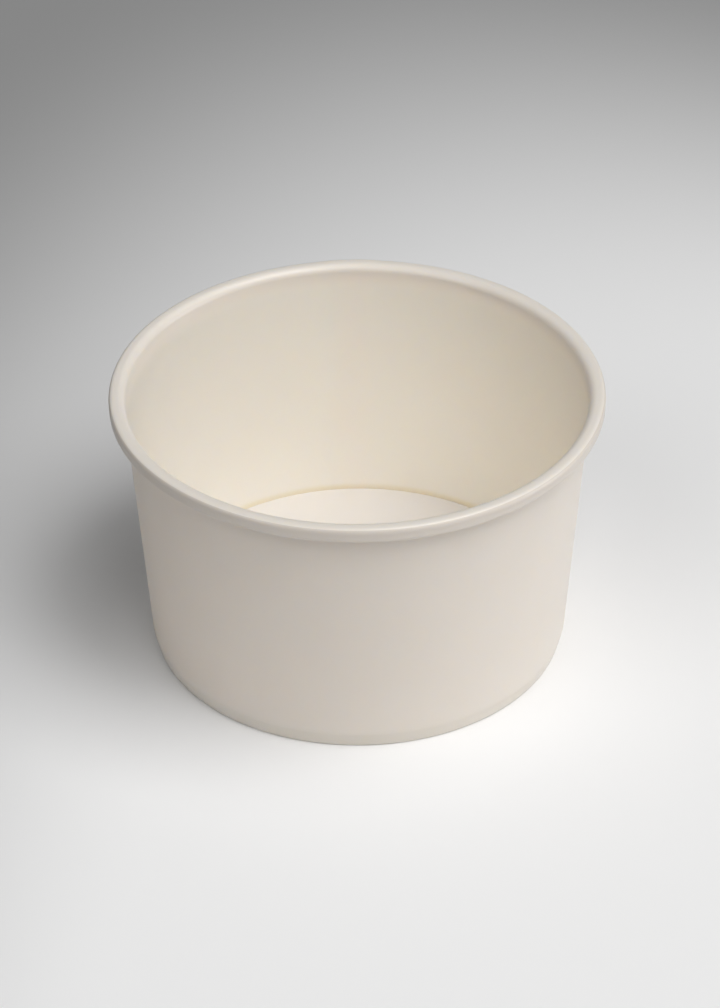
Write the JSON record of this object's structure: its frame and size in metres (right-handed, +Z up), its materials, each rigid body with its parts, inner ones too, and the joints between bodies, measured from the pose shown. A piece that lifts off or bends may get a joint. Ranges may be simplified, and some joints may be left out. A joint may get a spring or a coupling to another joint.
{
  "type": "paper ice cream tub",
  "caption": "Round white paperboard tub for ice cream: tapered wall with a rolled rim and a folded foot, open at the top, flat base.",
  "frame": {"origin": "centre of the folded foot, on the surface that the tub stands on", "axes": "+Z up along the tub's axis, out of its mouth; +Y towards the glued side seam at the back; the picture looks along +Y and down"},
  "size_m": [0.096, 0.0962, 0.0562],
  "materials": {
    "wall_board": "matte coated paperboard, warm white",
    "base_board": "matte coated paperboard, warm white"
  },
  "bodies": {
    "root": {"side_wall": "wall_board", "base_disc": "base_board"}
  },
  "joints": []
}
